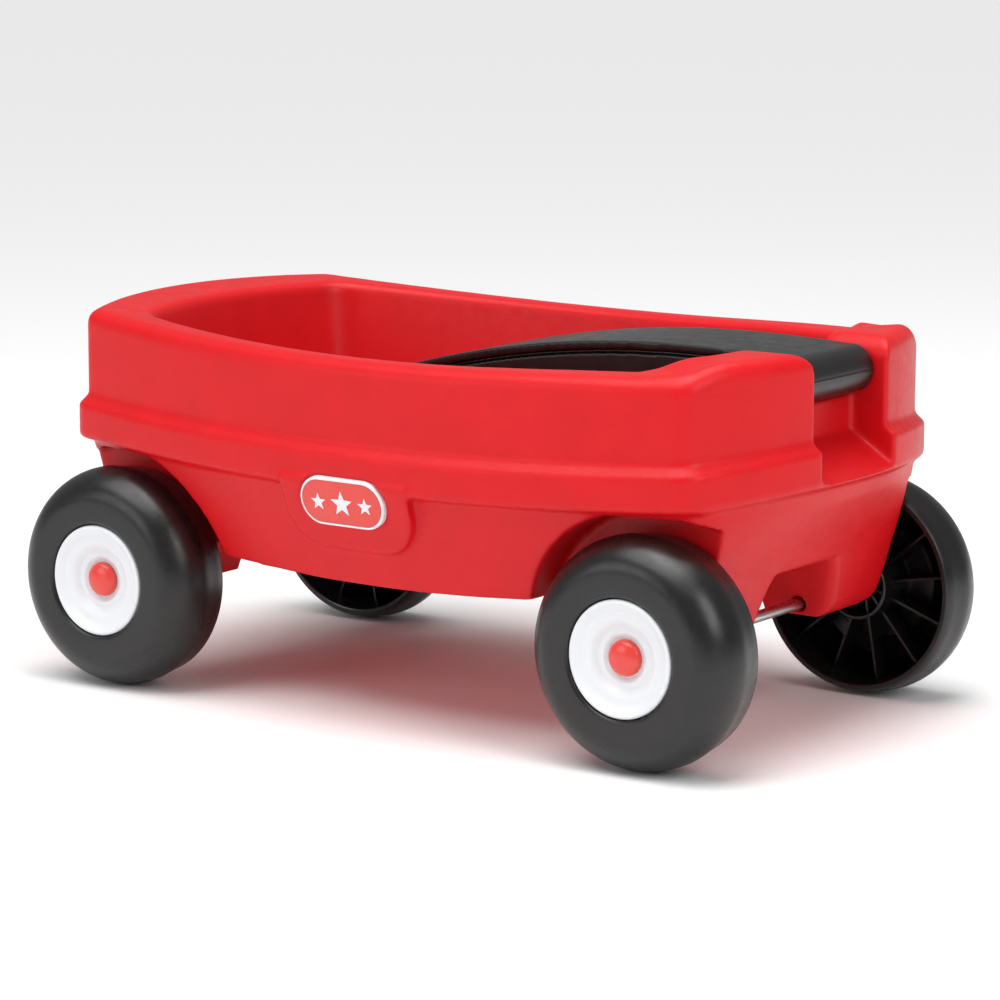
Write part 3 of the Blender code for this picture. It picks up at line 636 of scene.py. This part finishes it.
def wheel_profile():
    """Section of the wheel's shell: (radius, distance in from the outer face), without its recess."""
    shoulder_depth = 0.57 * WHEEL_WIDTH
    outer = [(0.0, 0.0), (WHEEL_SHOULDER, 0.0)]
    steps = 16
    for i in range(1, steps + 1):
        angle = math.pi / 2 * i / steps
        radius = WHEEL_SHOULDER + (WHEEL_RADIUS - WHEEL_SHOULDER) * math.sin(angle)
        outer.append((radius, shoulder_depth * (1 - math.cos(angle))))
    outer.append((WHEEL_RADIUS * 0.990, WHEEL_WIDTH - 0.018))
    outer.append((WHEEL_RADIUS * 0.972, WHEEL_WIDTH - 0.009))
    outer.append((BACK_RADIUS + 0.001, WHEEL_WIDTH - 0.0026))
    outer += arc(BACK_RADIUS - 0.0015, WHEEL_WIDTH - 0.0015, 0.0015, 20, 90, 4)
    inner_radius = BACK_RADIUS - TREAD_WALL
    inner = [
        (inner_radius, WHEEL_WIDTH),
        (inner_radius - 0.0008, WHEEL_WIDTH - 0.0008),
        (inner_radius - 0.002, shoulder_depth),
        (WHEEL_SHOULDER + 0.010, 0.013),
        (WHEEL_SHOULDER + 0.003, 0.0062),
        (HUB_RADIUS + 0.006, 0.0045),
        (HUB_RADIUS + 0.004, HUB_RECESS + 0.0015),
        (HUB_RADIUS + 0.002, HUB_RECESS + 0.003),
        (BOSS_RADIUS + 0.0020, HUB_RECESS + 0.003),
        (BOSS_RADIUS, HUB_RECESS + 0.005),
        (BOSS_RADIUS - 0.0006, BOSS_END - 0.0008),
        (BOSS_RADIUS - 0.0014, BOSS_END),
        (BOSS_RADIUS - 0.0026, BOSS_END),
        (BOSS_RADIUS - 0.0032, BOSS_END - 0.0008),
        (BOSS_RADIUS - 0.0032, 0.022),
        (TUBE_RADIUS + 0.001, 0.020),
        (TUBE_RADIUS, 0.022),
        (TUBE_RADIUS - 0.0005, TUBE_END - 0.0008),
        (TUBE_RADIUS - 0.0015, TUBE_END),
    ]
    return outer + inner + [(0.0, TUBE_END)]


def recess_profile():
    """Cutter for the seat of the hub disc, with a rounded lead-in at the wheel's face."""
    seat = HUB_RADIUS + 0.0006
    lead = 0.003
    curve = arc(seat + lead, lead, lead, -90, -180, 8)
    return [(0.0, -0.005), (seat + lead, -0.005)] + curve + [(seat, HUB_RECESS), (0.0, HUB_RECESS)]


def rib_meshes():
    """Radial ribs behind the wheel face, from the hub tube out to the inside of the tyre."""
    ribs = []
    inner = 0.006
    tread = BACK_RADIUS - TREAD_WALL
    outline = [
        (inner, 0.003),
        (WHEEL_SHOULDER, 0.003),
        (0.82 * WHEEL_RADIUS, 0.008),
        (0.885 * WHEEL_RADIUS, 0.014),
        (tread, 0.026),
        (tread, 0.036),
        (tread - 0.006, 0.038),
        (inner, 0.038),
    ]
    half = RIB_THICKNESS / 2
    for i in range(RIB_COUNT):
        rib = loft("rib", [[(r, y, z) for r, y in outline] for z in (-half, half)])
        rib.transform(Matrix.Rotation(math.radians(RIB_PHASE + 360 * i / RIB_COUNT), 4, "Y"))
        ribs.append((rib, "UNION"))
    return ribs


def hub_disc_profile():
    """Dished disc with a rolled edge, a soft step and a raised ring around the cap."""
    edge = HUB_RADIUS
    back = HUB_RECESS - 0.0003
    face = [
        (CAP_RADIUS - 0.003, back - 0.003),
        (CAP_RADIUS + 0.0010, back - 0.0030),
        (CAP_RADIUS + 0.0024, back - 0.0040),
        (0.0165, back - 0.0052),
        (0.0185, back - 0.0048),
        (0.0205, back - 0.0050),
        (0.0225, back - 0.0066),
        (0.0245, back - 0.0084),
        (0.0265, back - 0.0090),
        (0.0300, back - 0.0088),
        (0.0320, back - 0.0092),
        (0.0342, back - 0.0106),
    ]
    roll = 0.0020
    face += arc(edge - roll, 0.0004 + roll, roll, -115, 0, 10)
    return [(CAP_RADIUS - 0.003, back)] + face + [(edge, back)]


def cap_profile():
    """Domed cap with a thin flange, hollow behind so that it clears the axle end."""
    rim_y = HUB_RECESS - 0.003 - 0.0006
    dome = []
    steps = 14
    for i in range(steps + 1):
        angle = math.radians(86 * i / steps)
        dome.append((CAP_RADIUS * 0.985 * math.sin(angle), rim_y - 0.0016 - 0.0058 * math.cos(angle)))
    dome += [(CAP_RADIUS, rim_y - 0.0014), (CAP_RADIUS, rim_y - 0.0002), (CAP_RADIUS - 0.0004, rim_y)]
    inner = CAP_RADIUS - 0.002
    hollow = [(inner, rim_y), (inner, rim_y - 0.003), (inner * 0.6, rim_y - 0.0052), (0.0, rim_y - 0.0055)]
    return dome + hollow


def build_wheels(black, white, bright_red):
    shell = turned("shell", wheel_profile())
    tools = rib_meshes()
    tools.append((turned("recess", recess_profile()), "DIFFERENCE"))
    tools.append((cylinder("bore", AXLE_RADIUS + 0.0002, 0.08), "DIFFERENCE"))
    wheel = shaped("moulded_wheel", shell, tools, sharp=35)
    disc = turned("dished_disc", hub_disc_profile())
    cap = turned("domed_cap", cap_profile(), 64)
    for end_name, end in (("front", 1), ("rear", -1)):
        for side_name, side in (("left", 1), ("right", -1)):
            where = f"{end_name}_{side_name}"
            place = Matrix.Translation((end * WHEELBASE / 2, side * WHEEL_OUTER_Y, AXLE_Z))
            if side > 0:
                place = place @ Matrix.Rotation(math.pi, 4, "Z")
            for kind, mesh, material, slot, node, body in (
                ("moulded_wheel", wheel, black, "black_plastic", "wheel", f"wheel_{where}"),
                ("dished_disc", disc, white, "white_plastic", "hub_disc", f"wheel_{where}"),
                ("domed_cap", cap, bright_red, "bright_red_plastic", "axle_cap", "wagon"),
            ):
                own = mesh.copy()
                own.transform(place)
                piece(f"{kind}_{where}", own, material, body, slot, f"{node}_{where}")


def rod_profile(radius, half):
    """Half section of a round rod with chamfered ends, along Y."""
    edge = 0.0006
    return [
        (0.0, half),
        (radius - edge, half),
        (radius, half - edge),
        (radius, -half + edge),
        (radius - edge, -half),
        (0.0, -half),
    ]


def build_rods(metal):
    half = WHEEL_OUTER_Y - HUB_RECESS + 0.0065
    for name, end in (("axle_front", 1), ("axle_rear", -1)):
        mesh = turned(name, rod_profile(AXLE_RADIUS, half), 48)
        mesh.transform(Matrix.Translation((end * WHEELBASE / 2, 0, AXLE_Z)))
        piece(f"steel_{name}", mesh, metal, "wagon", "steel", name)
    mesh = turned("rod", rod_profile(PIVOT_ROD_RADIUS, PIVOT_ROD_HALF_LENGTH), 48)
    mesh.transform(Matrix.Translation((PIVOT_X, 0, PIVOT_Z)))
    piece("steel_pivot_rod", mesh, metal, "wagon", "steel", "handle_pivot_rod")


# ---- handle ----


def handle_top(x):
    """Height of the arched top face, steeper behind the crest."""
    steep = 0.62 if x < HANDLE_CREST_X else 0.35
    return HANDLE_CREST_Z - steep * (x - HANDLE_CREST_X) ** 2


def handle_thickness(x):
    """Depth of the handle, growing towards the pivot."""
    return 0.024 + 0.008 * max(0.0, min((x - 0.05) / 0.15, 1.0))


def handle_outline(inset=0.0):
    """Side view of the arched handle, round at the pivot, full at the grip."""
    steps = 48
    xs = [HANDLE_REAR_X + 0.008 + (0.245 - HANDLE_REAR_X - 0.008) * i / steps for i in range(steps + 1)]
    top = [(x, handle_top(x) - inset) for x in xs]
    bottom = [(x, handle_top(x) - handle_thickness(x) + inset) for x in xs]
    nose = arc(PIVOT_X, PIVOT_Z, HANDLE_END_RADIUS - inset, 80, -95, 28)
    middle = (top[0][1] + bottom[0][1]) / 2
    rear = HANDLE_REAR_X + inset
    tip = [(rear, middle - 0.006), (rear, middle + 0.006)]
    return top + nose + list(reversed(bottom)) + tip


def handle_plan(grow):
    """Seen from above: straight sides and a round grip end, tall enough to trim the handle."""
    half = HANDLE_HALF_WIDTH - grow
    radius = 0.030 - grow
    rear = HANDLE_REAR_X + grow
    outline = [(0.33, -half), (0.33, half)]
    outline += arc(rear + radius, half - radius, radius, 90, 180, 20)
    outline += arc(rear + radius, -half + radius, radius, 180, 270, 20)
    return loft("handle_plan", [[(x, y, z) for x, y in outline] for z in (0.10, 0.32)])


def side_cut_mesh(name, side, start, stop, low, y):
    """Cutter along a side face: from the lip down to the height low(x), and from y outwards."""
    steps = 40
    xs = [start + (stop - start) * i / steps for i in range(steps + 1)]
    top = [(x, handle_top(x) - LIP_DEPTH) for x in xs]
    bottom = [(x, low(x)) for x in xs]
    return prism(name, top + list(reversed(bottom)), side * y, side * 0.06)


def side_step_mesh(side):
    """Long recess along a side face, below the thin band at the top edge."""

    def low(x):
        return handle_top(x) - handle_thickness(x) - 0.01

    return side_cut_mesh("side_step", side, -0.10, 0.238, low, HANDLE_HALF_WIDTH - LIP_STEP)


def groove_mesh(side):
    """Narrow groove right under the top band."""

    def low(x):
        return handle_top(x) - LIP_DEPTH - 0.0032

    return side_cut_mesh("groove", side, -0.097, 0.235, low, HANDLE_HALF_WIDTH - LIP_STEP - 0.0025)


def build_handle(black):
    grip_x = HANDLE_REAR_X + 0.042
    outline = [(grip_x + v, u) for u, v in pill(GRIP_LENGTH, GRIP_WIDTH)]
    grip = loft("grip", [[(x, y, z) for x, y in outline] for z in (0.15, 0.30)])
    tools = [(handle_plan(0.0), "INTERSECT"), (grip, "DIFFERENCE")]
    for side in (1, -1):
        tools.append((side_step_mesh(side), "DIFFERENCE"))
        tools.append((groove_mesh(side), "DIFFERENCE"))
    base = prism("handle", handle_outline(), -0.06, 0.06)
    voxel = HANDLE_VOXEL
    mesh = shaped("handle", base, tools, voxel, 3, 60_000)
    seam_x = PIVOT_X + HANDLE_END_RADIUS - 0.0001
    seam = cylinder("seam", 0.00045, HANDLE_HALF_WIDTH - 0.001, seam_x, PIVOT_Z, 12)
    bore = cylinder("bore", PIVOT_ROD_RADIUS + 0.0003, 0.06, PIVOT_X, PIVOT_Z)
    mesh = shaped("handle", mesh, [(bore, "DIFFERENCE"), (seam, "UNION")])
    piece("moulded_handle", mesh, black, "handle", "black_plastic", "pull_handle")


# ---- badges ----


def star(centre_x, centre_z, radius, waist=0.42):
    """Five-pointed star outline, one point up."""
    points = []
    for i in range(10):
        reach = radius if i % 2 == 0 else radius * waist
        angle = math.radians(90 + 36 * i)
        points.append((centre_x + reach * math.cos(angle), centre_z + reach * math.sin(angle)))
    return points


def bevelled_pill(name, length, height, back, front, edge):
    """Pill-shaped plate with a rounded front edge."""
    steps = 5
    rings = [[(x, back, z) for x, z in pill(length, height)]]
    for i in range(steps + 1):
        angle = math.pi / 2 * i / steps
        inward = 2 * edge * (1 - math.cos(angle))
        y = front - edge * (1 - math.sin(angle))
        rings.append([(x, y, z) for x, z in pill(length - inward, height - inward)])
    return loft(name, rings)


def build_badges(white, bright_red):
    for side_name, side in (("left", 1), ("right", -1)):
        plate = bevelled_pill("plate", BADGE_LENGTH, BADGE_HEIGHT, -BADGE_THICKNESS, 0.0, 0.0012)
        pocket = prism("pocket", pill(BADGE_LENGTH - 0.0036, BADGE_HEIGHT - 0.0036), -0.0012, 0.01)
        plate = shaped("badge_plate", plate, [(pocket, "DIFFERENCE")], sharp=40)
        plate = on_side(plate, side)
        piece(f"badge_rim_{side_name}", plate, white, "wagon", "white_plastic", f"badge_plate_{side_name}")
        face = bevelled_pill("face", BADGE_LENGTH - 0.0040, BADGE_HEIGHT - 0.0040, -0.0011, -0.0001, 0.0004)
        face = on_side(face, side)
        piece(f"badge_panel_{side_name}", face, bright_red, "wagon", "badge_print", f"badge_face_{side_name}")
        for name, x, radius in (
            ("rear", -0.0195, 0.0062),
            ("middle", 0.0, 0.0092),
            ("front", 0.0195, 0.0062),
        ):
            mesh = prism("star", star(x, -0.0006, radius), -0.0006, 0.0002)
            piece(f"badge_star_{name}_{side_name}", on_side(mesh, side), white, "wagon", "white_plastic")


# ---- stage ----


def area_light(name, place, aim, size, power):
    light = bpy.data.lights.new(name, "AREA")
    light.shape = "RECTANGLE"
    light.size, light.size_y = size
    light.energy = power
    obj = bpy.data.objects.new(name, light)
    obj.location = place
    obj.rotation_euler = (Vector(aim) - Vector(place)).to_track_quat("-Z", "Y").to_euler()
    SCENE.collection.objects.link(obj)


def build_floor():
    bm = bmesh.new()
    bmesh.ops.create_grid(bm, x_segments=1, y_segments=1, size=40.0)
    floor = bpy.data.objects.new("studio_floor", mesh_from(bm, "studio_floor"))
    floor.location = (0, 0, -0.0004)
    SCENE.collection.objects.link(floor)
    material = bpy.data.materials.new("pale_floor")
    material.use_nodes = True
    shader = material.node_tree.nodes["Principled BSDF"]
    shader.inputs["Base Color"].default_value = (0.97, 0.97, 0.97, 1)
    shader.inputs["Roughness"].default_value = 0.7
    floor.data.materials.append(material)


def build_lights():
    world = bpy.data.worlds.new("studio")
    world.use_nodes = True
    world.node_tree.nodes["Background"].inputs["Color"].default_value = (1, 1, 1, 1)
    world.node_tree.nodes["Background"].inputs["Strength"].default_value = 0.32
    SCENE.world = world
    SCENE.view_settings.view_transform = "Standard"
    middle = (0, 0, 0.12)
    area_light("overhead", (0.2, 0.1, 1.9), middle, (1.6, 1.2), 17)
    area_light("key", (1.9, -0.6, 1.3), middle, (0.9, 1.2), 14)
    area_light("fill", (-1.0, -2.0, 0.9), middle, (1.4, 1.0), 9)
    sun = bpy.data.lights.new("soft_sun", "SUN")
    sun.energy = 1.9
    sun.angle = math.radians(50)
    sky = bpy.data.objects.new("soft_sun", sun)
    sky.rotation_euler = (math.radians(18), math.radians(-8), 0)
    SCENE.collection.objects.link(sky)


def build_camera():
    camera_data = bpy.data.cameras.new("camera")
    camera_data.lens = CAMERA_LENS
    camera_data.sensor_width = 36
    camera = bpy.data.objects.new("camera", camera_data)
    azimuth = math.radians(CAMERA_AZIMUTH)
    elevation = math.radians(CAMERA_ELEVATION)
    level = math.cos(elevation)
    back = Vector((math.sin(azimuth) * level, -math.cos(azimuth) * level, math.sin(elevation)))
    camera.location = Vector(CAMERA_AIM) + CAMERA_DISTANCE * back
    facing = back.to_track_quat("Z", "Y").to_matrix().to_4x4()
    roll = Matrix.Rotation(math.radians(CAMERA_ROLL), 4, "Z")
    camera.matrix_world = Matrix.Translation(camera.location) @ facing @ roll
    SCENE.collection.objects.link(camera)
    SCENE.camera = camera


red = plastic("red_polyethylene", (0.62, 0.005, 0.009), 0.40, 0.35, 0.0011, 0.04, gloss=0.26)
bright_red = plastic("bright_red_plastic", (0.71, 0.045, 0.032), 0.30, 0.10, 0.0016, 0.03, 0.03, 0.2)
black = plastic("black_plastic", (0.0060, 0.0052, 0.0052), 0.31, 0.16, 0.0009, 0.10)
white = plastic("white_plastic", (0.74, 0.76, 0.785), 0.34, 0.10, 0.0016, 0.015)
metal = steel("zinc_plated_steel")

build_floor()
build_lights()
build_camera()
build_tub(red)
build_wheels(black, white, bright_red)
build_rods(metal)
build_handle(black)
build_badges(white, bright_red)
for where in ("front_left", "front_right", "rear_left", "rear_right"):
    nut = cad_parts[f"push_nut_{where}"]
    nut.data.materials.clear()
    nut.data.materials.append(metal)
